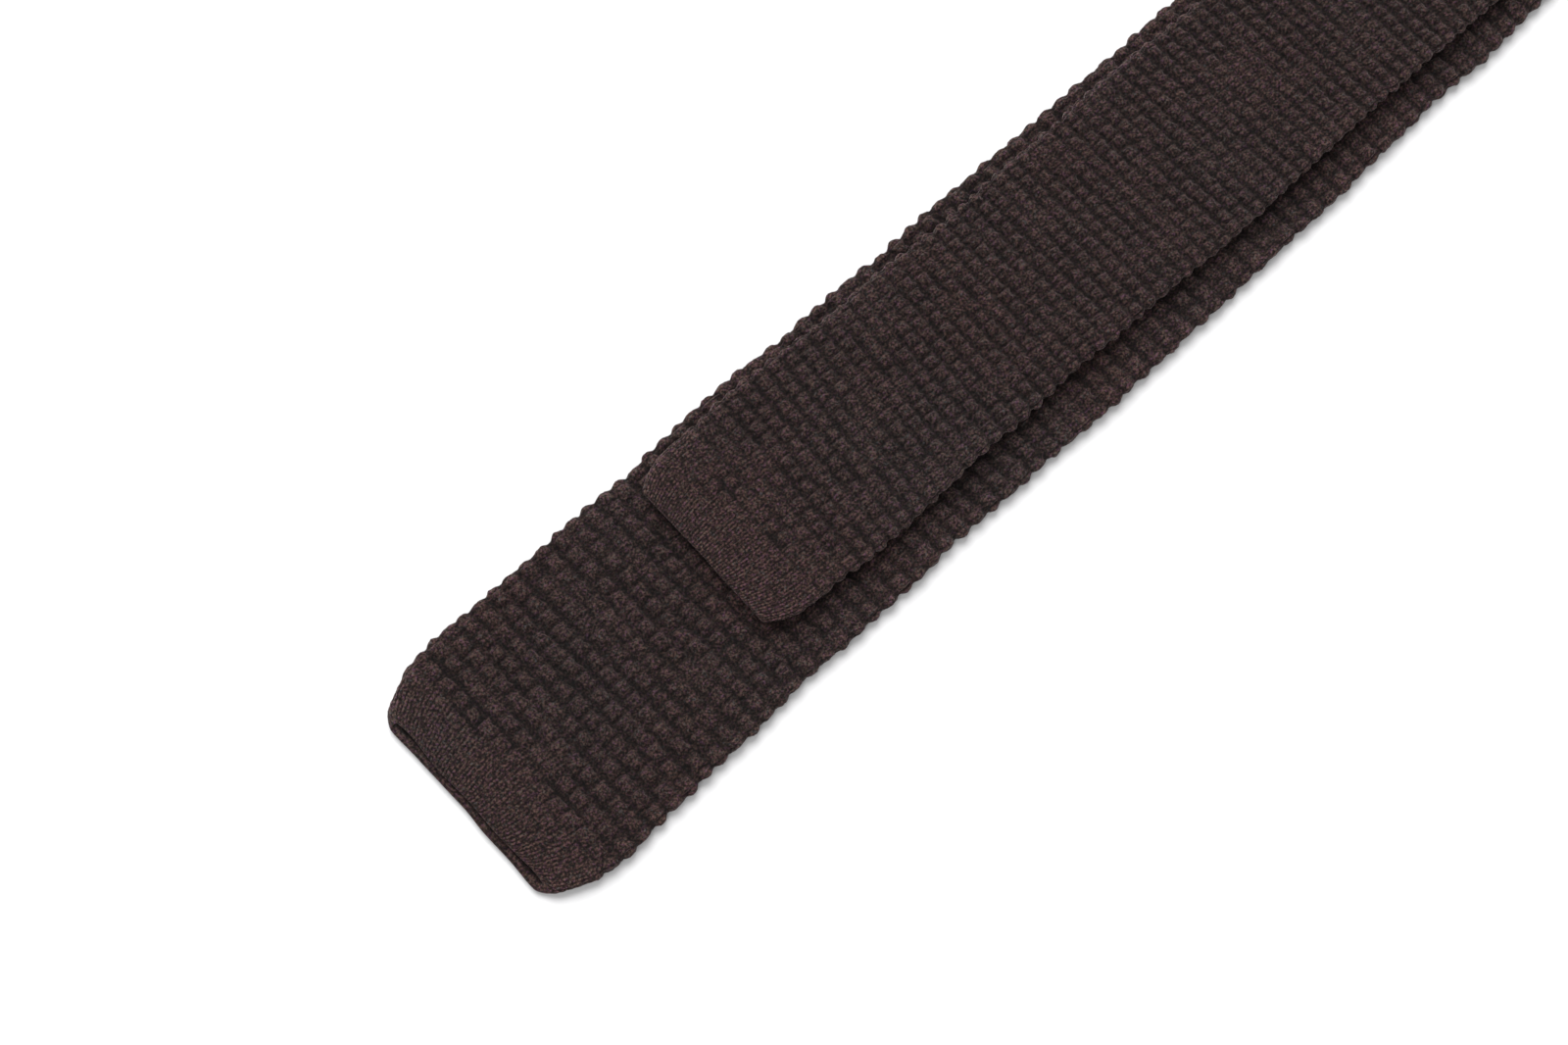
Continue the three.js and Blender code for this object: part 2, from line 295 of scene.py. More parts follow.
COURSE_MARGIN = 5       # the courses are counted from this far beyond both ends
COURSE_SAMPLES = 6000
COURSE_S = np.linspace(-COURSE_MARGIN, TOTAL + COURSE_MARGIN, COURSE_SAMPLES)
COURSE_RATE = 1 / by_end(COURSE_S, BLADE_COURSES, TAIL_COURSES)
COURSE_GAIN = (COURSE_RATE[1:] + COURSE_RATE[:-1]) / 2 * np.diff(COURSE_S)
COURSE_COUNT = np.concatenate([[0], np.cumsum(COURSE_GAIN)])


def course_at(s):
    return np.interp(s, COURSE_S, COURSE_COUNT)


def s_of_course(count):
    return np.interp(count, COURSE_COUNT, COURSE_S)


def nearest_course(s):
    return int(round(float(course_at(s))))


def hem_share(s):
    """0 in the plain ends, 1 where the bumps are full."""
    return np.clip((from_end(s) - HEM_PLAIN) / (HEM_FADE - HEM_PLAIN), 0, 1)


FINE = 16               # mesh columns to a bump on the side that is looked at
COVERED = 8             # the same on the blade under the tail
COARSE = 4              # and everywhere else
EDGE_FROM = 0.16        # the edge of a face begins this share of the way round from its middle
BELOW_FROM = 0.3        # and the face below this share
FINE_ROWS = 10          # mesh rows to a course
HEM_ROWS = 12
FOLD_ROWS = 6


def columns_round(top, edge_count, middle_count):
    """Shares round the tube for the mesh's columns, from the middle of the face below.
    top is the share of the middle of the face above: 0 on the tail, 0.5 on the blade."""
    shares = []
    for i in range(BUMPS_ROUND):
        off_top = abs((i + 0.5) / BUMPS_ROUND - 0.5)
        count = COARSE if off_top > BELOW_FROM else edge_count if off_top > EDGE_FROM else middle_count
        shares += [top + 0.5 + (i + j / count) / BUMPS_ROUND for j in range(count)]
    return np.array(shares)


def knit_grid(courses, shares):
    """Where the mesh's points lie in the knit. Rows follow the courses, whose edges wave so
    that each bump reaches between two bumps of the next course. Returns distance s, share
    round the tube c, the course's number, place in the course from 0 to 1 and place round
    the tube in bumps."""
    q, c = np.meshgrid(courses, shares, indexing="ij")
    row = np.floor(q + TINY)
    t = q - row
    bump = c * BUMPS_ROUND
    fade = hem_share(s_of_course(q))
    wave = INTERLOCK * fade * np.cos(2 * math.pi * bump) * (1 - 2 * (row % 2))
    loose = np.where(q < course_at(BLADE_RUN), 1, TAIL_LOOSE)
    drift = knit_noise(q / DRIFT_PATCH, bump, DRIFT_PATCH, 11)
    s = s_of_course(q + wave * (1 - 2 * t) + DRIFT * loose * fade * drift)
    side_drift = knit_noise(q / SIDE_DRIFT_COURSES + DRIFT_OFFSET, bump, SIDE_DRIFT_BUMPS, 12)
    c = c + SIDE_DRIFT * loose * fade * side_drift / BUMPS_ROUND
    wide = by_end(s, BLADE_WIDTHS, TAIL_WIDTHS) / 2
    across = outline(c, wide, HALF)[0]
    s = s - fade * by_end(s, BLADE_SLANT, TAIL_SLANT) * across
    return s, c, row.astype(int), t, bump


def bump_height(row, t, bump):
    """Height of the bumps, from 0 in the grooves to about 1 on top, and the place in the
    course, from -0.5 to 0.5 and moved a little for each bump."""
    place_round = bump + 0.5 * (row % 2) + 0.5
    column = np.floor(place_round + TINY).astype(int)
    side = place_round - column - 0.5 + STRAY * per_bump(row, column, 20)
    along = t - 0.5 + STRAY * per_bump(row, column, 24)
    size = 1 + SIZE_SPREAD * per_bump(row, column, 13)
    turn = TURN * per_bump(row, column, 14)
    reach = (np.abs(2 * side) ** SQUARENESS + np.abs(2 * along) ** SQUARENESS) ** (1 / SQUARENESS)
    narrow = NARROWNESS - NARROW_SPREAD * per_bump(row, column, 17)
    tuft = np.clip(1 - (reach * narrow) ** 2, 0, 1)
    parting = np.exp(-((side * np.cos(turn) + along * np.sin(turn)) / PARTING_WIDTH) ** 2)
    saddle = SADDLE * np.clip(np.cos(math.pi * along), 0, 1)
    height = np.maximum(tuft * (1 - PARTING * parting), saddle) * size
    return np.clip(height, 0, TALLEST), along


def plain_height(s, bump):
    """Height of plain knit, whose stitches are pairs of slanted legs."""
    leg = np.abs((2 * bump) % 1 - 0.5)
    across = (leg - 0.25) / 0.25
    along = 2 * ((s / PLAIN_COURSE + LEG_SLANT * leg) % 1) - 1
    return np.sqrt(np.clip(1 - LEG_ROUND * across ** 2, 0, 1) * np.clip(1 - LEG_TAPER * along ** 4, 0, 1))


def yarn_grain(s, bump, bumpy):
    """Unevenness of the yarn and its hairs, in mm."""
    spots = noise(s / GRAIN_LENGTH + 0.5, bump * GRAIN_SPOTS, 16, BUMPS_ROUND * GRAIN_SPOTS)
    hairs = np.random.default_rng(19).uniform(-1, 1, s.shape)
    grain = GRAIN * (PLAIN_GRAIN + (1 - PLAIN_GRAIN) * bumpy) * spots
    return grain + NAP * (PLAIN_NAP + (1 - PLAIN_NAP) * bumpy) * hairs


def relief(s, c, row, t, bump):
    """Depth of the knit below its tallest bumps, in mm, a shade from groove 0 to top 1 by which
    the material paints shade, darker still in the gaps between courses, and how plain the
    knit is: 0 where it has bumps, 1 in the plain ends."""
    height, along = bump_height(row, t, bump)
    plain = plain_height(s, bump)
    fade = knit_noise(s / FADE_LENGTH, bump, FADE_BUMPS, 15)
    bumpy = np.clip(hem_share(s) * (1 + FADE_SPREAD * fade), 0, 1)
    inside_edge = np.clip(np.abs((c % 0.5) - 0.25) / EDGE_CALM_REACH, 0, 1)
    calm = 1 - EDGE_CALM * (1 - inside_edge ** 2)
    patch = knit_noise(s / RELIEF_LENGTH, bump, RELIEF_BUMPS, 18)
    calm = calm * (1 + RELIEF_SPREAD * patch)
    shrink = by_end(s, BLADE_COURSES, TAIL_COURSES) / BLADE_COURSES[0][1]
    grain = yarn_grain(s, bump, bumpy)
    depth = bumpy * BUMP_DEPTH * calm * shrink * (1 - height)
    depth = depth + (1 - bumpy) * PLAIN_DEPTH * (1 - plain) + grain

    # Painted shade: the gaps between courses are darker, and plain stitches darker towards their grooves.
    row_shade = np.where(s < BLADE_RUN, BLADE_ROW_SHADE, TAIL_ROW_SHADE)
    row_shade = row_shade * np.exp(-((0.5 - np.abs(along)) / ROW_SHADE_WIDTH) ** 2)
    shade = bumpy * height * (1 - row_shade) + (1 - bumpy) * PLAIN_SHADE * plain ** PLAIN_CONTRAST
    return np.minimum(depth, DEEPEST), np.clip(shade + grain, 0, 1), 1 - bumpy


# ---- Tube cross-section ----

def outline(c, wide, high):
    """Flat round-edged outline at share c of its way round: across, inward and the normal.
    c = 0 is the middle of the front, and c grows towards +Y."""
    flat = wide - high
    perimeter = 4 * flat + 2 * math.pi * high
    d = (c % 1) * perimeter
    arc = math.pi * high
    turn = np.clip((d - flat) / high, 0, math.pi)
    turn_back = np.clip((d - 3 * flat - arc) / high, 0, math.pi)
    angle = -math.pi / 2 + turn + turn_back
    travel = np.clip(d, 0, flat) - np.clip(d - flat - arc, 0, 2 * flat)
    travel = travel + np.clip(d - 3 * flat - 2 * arc, 0, flat)
    return travel + high * np.cos(angle), high * np.sin(angle), np.cos(angle), np.sin(angle)


def place(s, across, inward):
    """Points beside the centreline: across towards +Y, and inward towards the tie's back."""
    point, normal = centreline(s)
    out = point + normal * inward[..., None]
    out[..., 1] += across
    return out


def pressed_by_keeper(s, c, depth):
    """Depth of the skin where the keeper loop presses the blade's back flat."""
    across = outline(c, by_end(s, BLADE_WIDTHS, TAIL_WIDTHS) / 2, HALF)[0]
    out_along = np.abs(s - KEEPER_AT) - (keeper_high[0] - keeper_low[0]) / 2
    out_across = np.abs(across) - KEEPER_SPAN / 2
    on_back = np.abs(c % 1 - 0.5) < 0.25
    press = smooth(PRESS_REACH - out_along / PRESS_EASE) * smooth(PRESS_REACH - out_across / PRESS_EASE)
    return depth + press * on_back * (KEEPER_PRESS - PRESSED_RELIEF * depth) * (depth < OUTER_SKIN)


def tube_points(s, c, depth):
    """Points of the tube's skin, `depth` below the CAD surface. The numbers added to a place
    in the noise only pick another stretch of it."""
    depth = pressed_by_keeper(s, c, np.minimum(depth, KNIT_WALL))
    wide = by_end(s, BLADE_WIDTHS, TAIL_WIDTHS) / 2
    high = HALF - END_THIN * (1 - smooth(from_end(s) / THIN_REACH))
    wide = wide + EDGE_WANDER * line_noise(s / WANDER_PATCH, 21) * smooth(from_end(s) / WANDER_FROM)
    across, inward, normal_across, normal_in = outline(c, wide, high)
    across = across - normal_across * depth
    inward = inward - normal_in * depth
    on_blade = s < BLADE_RUN + FOLD_LENGTH / 2
    near_end = 1 - smooth(from_end(s) / LIP_REACH)
    back_face = smooth(0.5 + 0.5 * normal_in)
    uneven = 1 + SETBACK_SPREAD * line_noise(across / SETBACK_PATCH + 60, 22)
    bulge = END_BULGE * (1 - (across / BULGE_WIDTH) ** 2)
    wave = LIP_WAVE * line_noise(across / LIP_WAVE_PATCH + 100 + 9 * np.sign(inward), 23)
    drop = LIP_DROP * on_blade * (1 - smooth(s / DROP_REACH))
    inward = inward - drop * smooth(inward / high)
    blade_shift = near_end * (LIP_SETBACK * back_face * uneven - bulge + wave)
    undercut = TAIL_UNDERCUT * back_face * (1 - smooth(from_end(s) / UNDERCUT_REACH))
    tail_shift = -TAIL_LIP_WAVE * near_end * wave - undercut
    return place(s + np.where(on_blade, blade_shift, tail_shift), across, inward)


# ---- Mesh making ----

def make_object(name, points, faces, knit, creases=()):
    mesh = bpy.data.meshes.new(name)
    mesh.from_pydata((points * MM).tolist(), [], faces)
    attribute = mesh.attributes.new("knit", "FLOAT_VECTOR", "POINT")
    attribute.data.foreach_set("vector", knit.astype(np.float32).ravel())
    work = bmesh.new()
    work.from_mesh(mesh)
    bmesh.ops.recalc_face_normals(work, faces=work.faces)
    work.to_mesh(mesh)
    work.free()
    mesh.polygons.foreach_set("use_smooth", [True] * len(mesh.polygons))
    if creases:
        wanted = {tuple(sorted(pair)) for pair in creases}
        sharp = mesh.attributes.new("sharp_edge", "BOOLEAN", "EDGE")
        ends = np.empty(len(mesh.edges) * 2, int)
        mesh.edges.foreach_get("vertices", ends)
        ends = np.sort(ends.reshape(-1, 2), 1).tolist()
        sharp.data.foreach_set("value", [tuple(pair) in wanted for pair in ends])
    obj = bpy.data.objects.new(name, mesh)
    bpy.context.scene.collection.objects.link(obj)
    return obj


def grid_faces(first, rows, columns, flip=False):
    """Quads of a grid of points that closes on itself round its columns."""
    r = np.arange(rows - 1)[:, None] * columns
    j = np.arange(columns)[None, :]
    k = (j + 1) % columns
    quads = np.stack([r + j, r + k, r + columns + k, r + columns + j], -1).reshape(-1, 4) + first
    return (quads[:, ::-1] if flip else quads).tolist()


def ring_faces(a, b, columns):
    """Quads between two rings of points, which begin at a and at b."""
    j = np.arange(columns)
    k = (j + 1) % columns
    return np.stack([a + j, a + k, b + k, b + j], -1).tolist()


def sleeve_faces(outer_rows, inner_rows, columns):
    """Faces of a closed sleeve: an outer and an inner grid of points, joined at both ends."""
    first = outer_rows * columns
    skins = grid_faces(0, outer_rows, columns) + grid_faces(first, inner_rows, columns, flip=True)
    last_inner = first + (inner_rows - 1) * columns
    return skins + ring_faces(0, first, columns) + ring_faces(last_inner, first - columns, columns)


def rolled_lip(edge, sign, c, depth, bump, shade):
    """Rings that roll the wall over at a finished end, from the outer skin to the inner."""
    points, knit = [], []
    for angle in np.linspace(0, math.pi, LIP_RINGS + 1)[1:]:
        at = edge + sign * LIP_WALL / 2 * math.sin(angle) + 0 * c
        turned = LIP_WALL / 2 * (1 - math.cos(angle)) + depth * math.cos(angle / 2)
        points.append(tube_points(at, c, turned))
        # Painted highlight: the outermost line of the lip is kept light.
        knit.append(np.stack([0 * at, bump, np.maximum(shade, LIP_SHADE * math.sin(angle))], -1))
    return np.array(points), np.array(knit)


def tube_piece(name, courses, shares, inner_step, lip):
    """A closed wall of knit between two places, with its fine outer skin and an inner one
    that has every inner_step-th of its rows and a few more next to a lip. lip is "start" or
    "end" where the wall is rolled over at a finished end, and None elsewhere."""
    columns = len(shares)
    s, c, row, t, bump = knit_grid(courses, shares)
    depth, shade, plain = relief(s, c, row, t, bump)
    outer = tube_points(s, c, depth)
    outer_knit = np.stack([plain, bump, shade], -1)

    near_lip = {"start": [2, 4, 6], "end": [-3, -5, -7]}.get(lip, [])
    picks = np.arange(0, len(courses), inner_step).tolist() + [len(courses) - 1]
    picks = np.unique(picks + [i % len(courses) for i in near_lip])
    si, ci = s[picks], c[picks]
    wall = np.where(from_end(si) < HEM_DEPTH, HEM_WALL, KNIT_WALL)
    wall = np.where(from_end(si) < LIP_DEPTH, LIP_WALL, wall)
    inner = tube_points(si, ci, wall)
    # Painted shade: the inside of the mouth is painted dark.
    inner_shade = PLAIN_SHADE * (1 - smooth((from_end(si) - LIP_SHADE_FROM) / LIP_SHADE_LENGTH))
    inner_knit = np.stack([0 * si, bump[picks], inner_shade], -1)

    if lip == "start":
        turned, turned_knit = rolled_lip(s[0], -1, c[0], depth[0], bump[0], shade[0])
        outer = np.concatenate([turned[::-1], outer])
        outer_knit = np.concatenate([turned_knit[::-1], outer_knit])
    if lip == "end":
        turned, turned_knit = rolled_lip(s[-1], 1, c[-1], depth[-1], bump[-1], shade[-1])
        outer = np.concatenate([outer, turned])
        outer_knit = np.concatenate([outer_knit, turned_knit])

    rows = len(outer)
    points = np.concatenate([outer.reshape(-1, 3), inner.reshape(-1, 3)])
    knit = np.concatenate([outer_knit.reshape(-1, 3), inner_knit.reshape(-1, 3)])
    faces = sleeve_faces(rows, len(picks), columns)
    cut_ends = ([] if lip == "start" else [0]) + ([] if lip == "end" else [(rows - 1) * columns])
    creases = [(ring + i, ring + (i + 1) % columns) for ring in cut_ends for i in range(columns)]
    return make_object(name, points, faces, knit, creases)


def course_steps(first, last, steps):
    """The mesh's rows between two courses: so many to each course."""
    count = max(1, int(round((last - first) * steps)))
    return np.linspace(first, last, count + 1)


def chain(*stretches):
    """Joins runs of rows that share their end values."""
    return np.concatenate([stretches[0]] + [run[1:] for run in stretches[1:]])


# ---- Materials ----

def new_material(name):
    material = bpy.data.materials.new(name)
    material.use_nodes = True
    tree = material.node_tree
    tree.nodes.clear()
    output = tree.nodes.new("ShaderNodeOutputMaterial")
    shader = tree.nodes.new("ShaderNodeBsdfPrincipled")
    tree.links.new(shader.outputs["BSDF"], output.inputs["Surface"])
    return material, tree, shader


def noise_node(tree, coordinates, scale, detail):
    node = tree.nodes.new("ShaderNodeTexNoise")
    node.inputs["Scale"].default_value = scale
    node.inputs["Detail"].default_value = detail
    node.inputs["Roughness"].default_value = 0.65
    tree.links.new(coordinates, node.inputs["Vector"])
    return node.outputs["Fac"]


def ramp_node(tree, factor, stops):
    node = tree.nodes.new("ShaderNodeValToRGB")
    ramp = node.color_ramp
    ramp.elements[0].position, ramp.elements[1].position = stops[0][0], stops[-1][0]
    ramp.elements[0].color, ramp.elements[1].color = (*stops[0][1], 1), (*stops[-1][1], 1)
    for position, colour in stops[1:-1]:
        ramp.elements.new(position).color = (*colour, 1)
    tree.links.new(factor, node.inputs["Fac"])
    return node.outputs["Color"]


def multiply_node(tree, a, b):
    node = tree.nodes.new("ShaderNodeMix")
    node.data_type = "RGBA"
    node.blend_type = "MULTIPLY"
    node.inputs["Factor"].default_value = 1.0
    tree.links.new(a, node.inputs["A"])
    tree.links.new(b, node.inputs["B"])
    return node.outputs["Result"]


def math_node(tree, operation, *values):
    """A math node whose inputs are sockets or plain numbers."""
    node = tree.nodes.new("ShaderNodeMath")
    node.operation = operation
    for socket, value in zip(node.inputs, values):
        if isinstance(value, (int, float)):
            socket.default_value = value
        else:
            tree.links.new(value, socket)
    return node.outputs[0]


HEM_GLOW = 0.30         # the fine knit of the ends is this much lighter
EDGE_PAINTED_LIGHT = 0.5         # and the long edges, as a painted rim highlight, this much, within
EDGE_PAINTED_LIGHT_REACH = 0.12  # this share of a face's width
PATCH_SCALE = 30        # patches, per metre, in which the wool is a little redder or greyer
LEG_GAP_SHADE = 0.34         # painted shade: how dark the lines between the legs of plain stitches are
LEGS_ROUND = 4          # legs of plain stitches to one bump
GROOVE_TOP = 0.6        # height of the knit from which it gets no painted shade
HUE_SCALE = 0.8         # patches of one hue, to one fibre
FIBRE_BUMP = 0.0004     # height of the fibres in the shading, in metres

# Multiples of a material's colour by the value of a noise: [value, (red, green, blue)].
HUES = [[0.34, (0.78, 1.17, 1.26)], [0.44, (0.96, 1.06, 0.74)], [0.54, (1.12, 0.95, 0.87)],
        [0.66, (1.07, 0.85, 1.42)]]
FIBRES = [[0.38, (0.24, 0.24, 0.24)], [0.5, (0.84, 0.84, 0.84)], [0.63, (2.5, 2.5, 2.5)]]
PATCHES = [[0.32, (0.96, 1.01, 1.02)], [0.68, (1.05, 0.99, 0.98)]]

WOOL_SURFACE = {"Roughness": 0.95, "Specular IOR Level": 0.2, "Sheen Weight": 0.38,
                "Sheen Roughness": 0.35, "Sheen Tint": (0.55, 0.45, 0.44, 1)}


def heathered_colour(tree, place_in, tone, fibre_scale):
    """Fibres of several browns around the mean colour, tone."""
    own_hues = [(value, tuple(t * m for t, m in zip(tone, multiple))) for value, multiple in HUES]
    hue_noise = noise_node(tree, place_in, fibre_scale * HUE_SCALE, 2)
    hues = ramp_node(tree, hue_noise, own_hues)
    fibres = ramp_node(tree, noise_node(tree, place_in, fibre_scale, 2), FIBRES)
    patches = ramp_node(tree, noise_node(tree, place_in, PATCH_SCALE, 1), PATCHES)
    return multiply_node(tree, multiply_node(tree, hues, fibres), patches)


def range_node(tree, value, low_to, high_from):
    """Maps a value of 0 to low_to and one of high_from or more to 1."""
    node = tree.nodes.new("ShaderNodeMapRange")
    node.inputs["From Max"].default_value = high_from
    node.inputs["To Min"].default_value = low_to
    tree.links.new(value, node.inputs["Value"])
    return node


def painted_knit_shading(tree, groove_shade_tone):
    """Multiples of the colour that follow the knit: painted shade in the grooves and in the
    lines between the legs of plain stitches, lighter plain ends, and a painted rim highlight
    along the long edges."""
    knit = tree.nodes.new("ShaderNodeAttribute")
    knit.attribute_name = "knit"
    split = tree.nodes.new("ShaderNodeSeparateXYZ")
    tree.links.new(knit.outputs["Vector"], split.inputs["Vector"])
    plain, round_tube, height = (split.outputs[axis] for axis in "XYZ")

    # Painted shade in the grooves, and in the lines between the legs of plain stitches.
    groove = range_node(tree, height, groove_shade_tone, GROOVE_TOP).outputs["Result"]
    turn = math_node(tree, "MULTIPLY", round_tube, 2 * math.pi * LEGS_ROUND)
    between_legs = math_node(tree, "MULTIPLY_ADD", math_node(tree, "COSINE", turn), 0.5, 0.5)
    line = math_node(tree, "MULTIPLY", between_legs, plain)
    line = math_node(tree, "MULTIPLY_ADD", line, -LEG_GAP_SHADE, 1.0)
    hem_glow = math_node(tree, "MULTIPLY_ADD", plain, HEM_GLOW, 1.0)
    # A painted rim highlight along the long edges.
    faces_round = math_node(tree, "MULTIPLY", round_tube, 2 / BUMPS_ROUND)
    across_face = math_node(tree, "SUBTRACT", math_node(tree, "FRACT", faces_round), 0.5)
    from_edge = math_node(tree, "ABSOLUTE", across_face)
    edge_painted_light = range_node(tree, from_edge, 1 + EDGE_PAINTED_LIGHT, EDGE_PAINTED_LIGHT_REACH)
    edge_painted_light.interpolation_type = "SMOOTHSTEP"
    return groove, line, hem_glow, edge_painted_light.outputs["Result"]


def wool_material(name, tone, fibre_scale, groove_shade_tone):
    """Heathered wool with a soft sheen, and painted shade and light that follow the knit. tone is
    the mean colour, fibre_scale the fibres to a metre and the last argument how much of the
    colour the painted shade leaves in the grooves of the knit."""
    material, tree, shader = new_material(name)
    place_in = tree.nodes.new("ShaderNodeTexCoord").outputs["Object"]
    colour = heathered_colour(tree, place_in, tone, fibre_scale)
    for shade in painted_knit_shading(tree, groove_shade_tone):
        colour = multiply_node(tree, colour, shade)
    tree.links.new(colour, shader.inputs["Base Color"])

    bump = tree.nodes.new("ShaderNodeBump")
    bump.inputs["Strength"].default_value = 1.0
    bump.inputs["Distance"].default_value = FIBRE_BUMP
    tree.links.new(noise_node(tree, place_in, fibre_scale * HUE_SCALE, 3), bump.inputs["Height"])
    tree.links.new(bump.outputs["Normal"], shader.inputs["Normal"])

    for name, value in WOOL_SURFACE.items():
        shader.inputs[name].default_value = value
    return material


WOOL = wool_material("wool_knit", (0.0265, 0.0160, 0.0164), 1900, 0.26)
HEM = wool_material("hem_knit", (0.027, 0.018, 0.018), 3600, 0.6)
TAPE = wool_material("stay_tape", (0.055, 0.044, 0.037), 2600, 0.6)
THREAD = wool_material("sewing_thread", (0.022, 0.015, 0.013), 4000, 0.8)


def finish_piece(obj, material, node, body=None, bend=None):
    """Gives a piece its material, hides its CAD node and hangs the piece on the body that it
    rides on. A piece with a bend, two bodies and the two points between which it passes from
    one to the other, stays where it is in the world and rides on no body."""
    obj.data.materials.append(material)
    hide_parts(node)
    if bend:
        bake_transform(obj)
    else:
        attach(obj, body)


# ---- The knitted tube, in stretches that ride on bodies or lie across joints ----

BEND_PAST = 7           # a lifted end's bend is given as running from this far past its hinge, on its own side
BEND_BEFORE = 3         # to this far before it
FINE_REACH = 290        # stretch from the blade's end that gets the fine mesh
BLADE_SPLIT = 100       # the fine mesh of the blade is cut here, under the tail
TAIL_SPLIT = 112        # and that of the tail this far from its end
FOLD_MARGIN = 8         # straight knit on each side of the neck fold, in its pieces
STRAIGHT_INNER = 20     # outer mesh rows to one row of the inner skin
FOLD_INNER = 3          # the same at the neck fold

s_hinge_blade = joint_point("blade_end_lift")[0] - blade_low[0]
s_hinge_tail = TAIL_START + FOLD_X - joint_point("tail_end_lift")[0]


def centre_at(s):
    return centreline(np.array([s]))[0][0]


def on_centreline(s):
    return tuple(centre_at(s) * MM)


def fold_point(rise, back=False):
    """A point on the slanted line across one quarter of the neck fold, inside the loop."""
    z = 2 * HALF + rise
    return ((FOLD_X + rise) * MM, 0, (2 * (HALF + NECK_RADIUS) - z if back else z) * MM)


FOLD_RISE = NECK_RADIUS - HALF
BLADE_FOLD = ("blade", "neck", fold_point(0), fold_point(FOLD_RISE))
TAIL_FOLD = ("neck", "tail", fold_point(FOLD_RISE, back=True), fold_point(0, back=True))


def knitted_tube():
    start, end = float(course_at(LIP_WALL / 2)), float(course_at(TOTAL - LIP_WALL / 2))
    hem, tail_hem = nearest_course(HEM_FADE), nearest_course(TOTAL - HEM_FADE)
    blade_split, tail_split = nearest_course(BLADE_SPLIT), nearest_course(TOTAL - TAIL_SPLIT)
    fine_to = nearest_course(FINE_REACH)
    fine_from = nearest_course(TAIL_START + BLADE_RUN - FINE_REACH)
    fold_from, fold_to = nearest_course(BLADE_RUN - FOLD_MARGIN), nearest_course(TAIL_START + FOLD_MARGIN)
    fold_middle = nearest_course(BLADE_RUN + FOLD_LENGTH / 2)

    blade_end_rows = chain(course_steps(start, hem, HEM_ROWS),
                           course_steps(hem, blade_split, FINE_ROWS))
    tail_end_rows = chain(course_steps(tail_split, tail_hem, FINE_ROWS),
                          course_steps(tail_hem, end, HEM_ROWS))
    blade_bend = ("blade_end", "blade", on_centreline(s_hinge_blade - BEND_PAST),
                  on_centreline(s_hinge_blade + BEND_BEFORE))
    tail_bend = ("tail", "tail_end", on_centreline(s_hinge_tail - BEND_BEFORE),
                 on_centreline(s_hinge_tail + BEND_PAST))
    plain = columns_round(0.5, COARSE, COARSE)
    on_blade, on_tail = columns_round(0.5, FINE, FINE), columns_round(0, FINE, FINE)
    under_tail = columns_round(0.5, FINE, COVERED)

    # Name, rows, columns, CAD node, body or None, bend or None, finished end or None.
    stretches = [
        ("blade_end_weave", blade_end_rows, on_blade,
         "blade_end_knit", None, blade_bend, "start"),
        ("blade_weave", course_steps(blade_split, fine_to, FINE_ROWS), under_tail,
         "blade_knit", "blade", None, None),
        ("blade_upper_weave", course_steps(fine_to, fold_from, COARSE), plain,
         "blade_knit", "blade", None, None),
        ("neck_weave_blade_side", course_steps(fold_from, fold_middle, FOLD_ROWS), plain,
         "neck_knit", None, BLADE_FOLD, None),
        ("neck_weave_tail_side", course_steps(fold_middle, fold_to, FOLD_ROWS), plain,
         "neck_knit", None, TAIL_FOLD, None),
        ("tail_upper_weave", course_steps(fold_to, fine_from, COARSE), plain,
         "tail_knit", "tail", None, None),
        ("tail_weave", course_steps(fine_from, tail_split, FINE_ROWS), on_tail,
         "tail_knit", "tail", None, None),
        ("tail_end_weave", tail_end_rows, on_tail,
         "tail_end_knit", None, tail_bend, "end"),
    ]
    for name, courses, shares, node, body, bend, lip in stretches:
        folded = node == "neck_knit"
        piece = tube_piece(name, courses, shares, FOLD_INNER if folded else STRAIGHT_INNER, lip)
        finish_piece(piece, WOOL, node, body, bend)


knitted_tube()

# ---- Turned-in hems inside the two mouths ----

FACING_FROM = 2.6       # a turned-in hem reaches from this distance behind the end
FACING_TO = 14          # to this
FACING_WALL = 0.35      # its thickness
FACING_GAP = 0.1        # room between it and the knit outside it
FACING_RIB = 0.08       # height of the ribs of its wales
FACING_GROOVE = 0.5     # painted shade between its wales
FACING_TOP = 0.8        # and on them
FACING_COLUMNS = 8      # mesh columns to a bump
FACING_ROWS = 40        # mesh rows in all


def facing_skin(s, bump, inset):
    """Plain knit at `inset` below the tie's surface, with the ribs of its wales."""
    rib = FACING_RIB * np.abs(np.sin(2 * math.pi * bump))
    return tube_points(s, bump / BUMPS_ROUND, inset + rib)


def hem_facing(name, node, body, near, far):
    """A closed sleeve of plain knit inside the tube, from distance near to far."""
    steps = np.linspace(near, far, FACING_ROWS)
    columns = BUMPS_ROUND * FACING_COLUMNS
    s, bump = np.meshgrid(steps, np.arange(columns) / FACING_COLUMNS, indexing="ij")
    inset = HEM_WALL + FACING_GAP
    skins = [facing_skin(s, bump, inset), facing_skin(s, bump, inset + FACING_WALL)]
    points = np.concatenate([skin.reshape(-1, 3) for skin in skins])
    # Painted shade between the wales.
    shade = FACING_GROOVE + (FACING_TOP - FACING_GROOVE) * np.abs(np.cos(2 * math.pi * bump))
    knit = np.stack([1 + 0 * s, bump, shade], -1).reshape(-1, 3)
    faces = sleeve_faces(FACING_ROWS, FACING_ROWS, columns)
    obj = make_object(name, points, faces, np.concatenate([knit, knit]))
    finish_piece(obj, HEM, node, body)


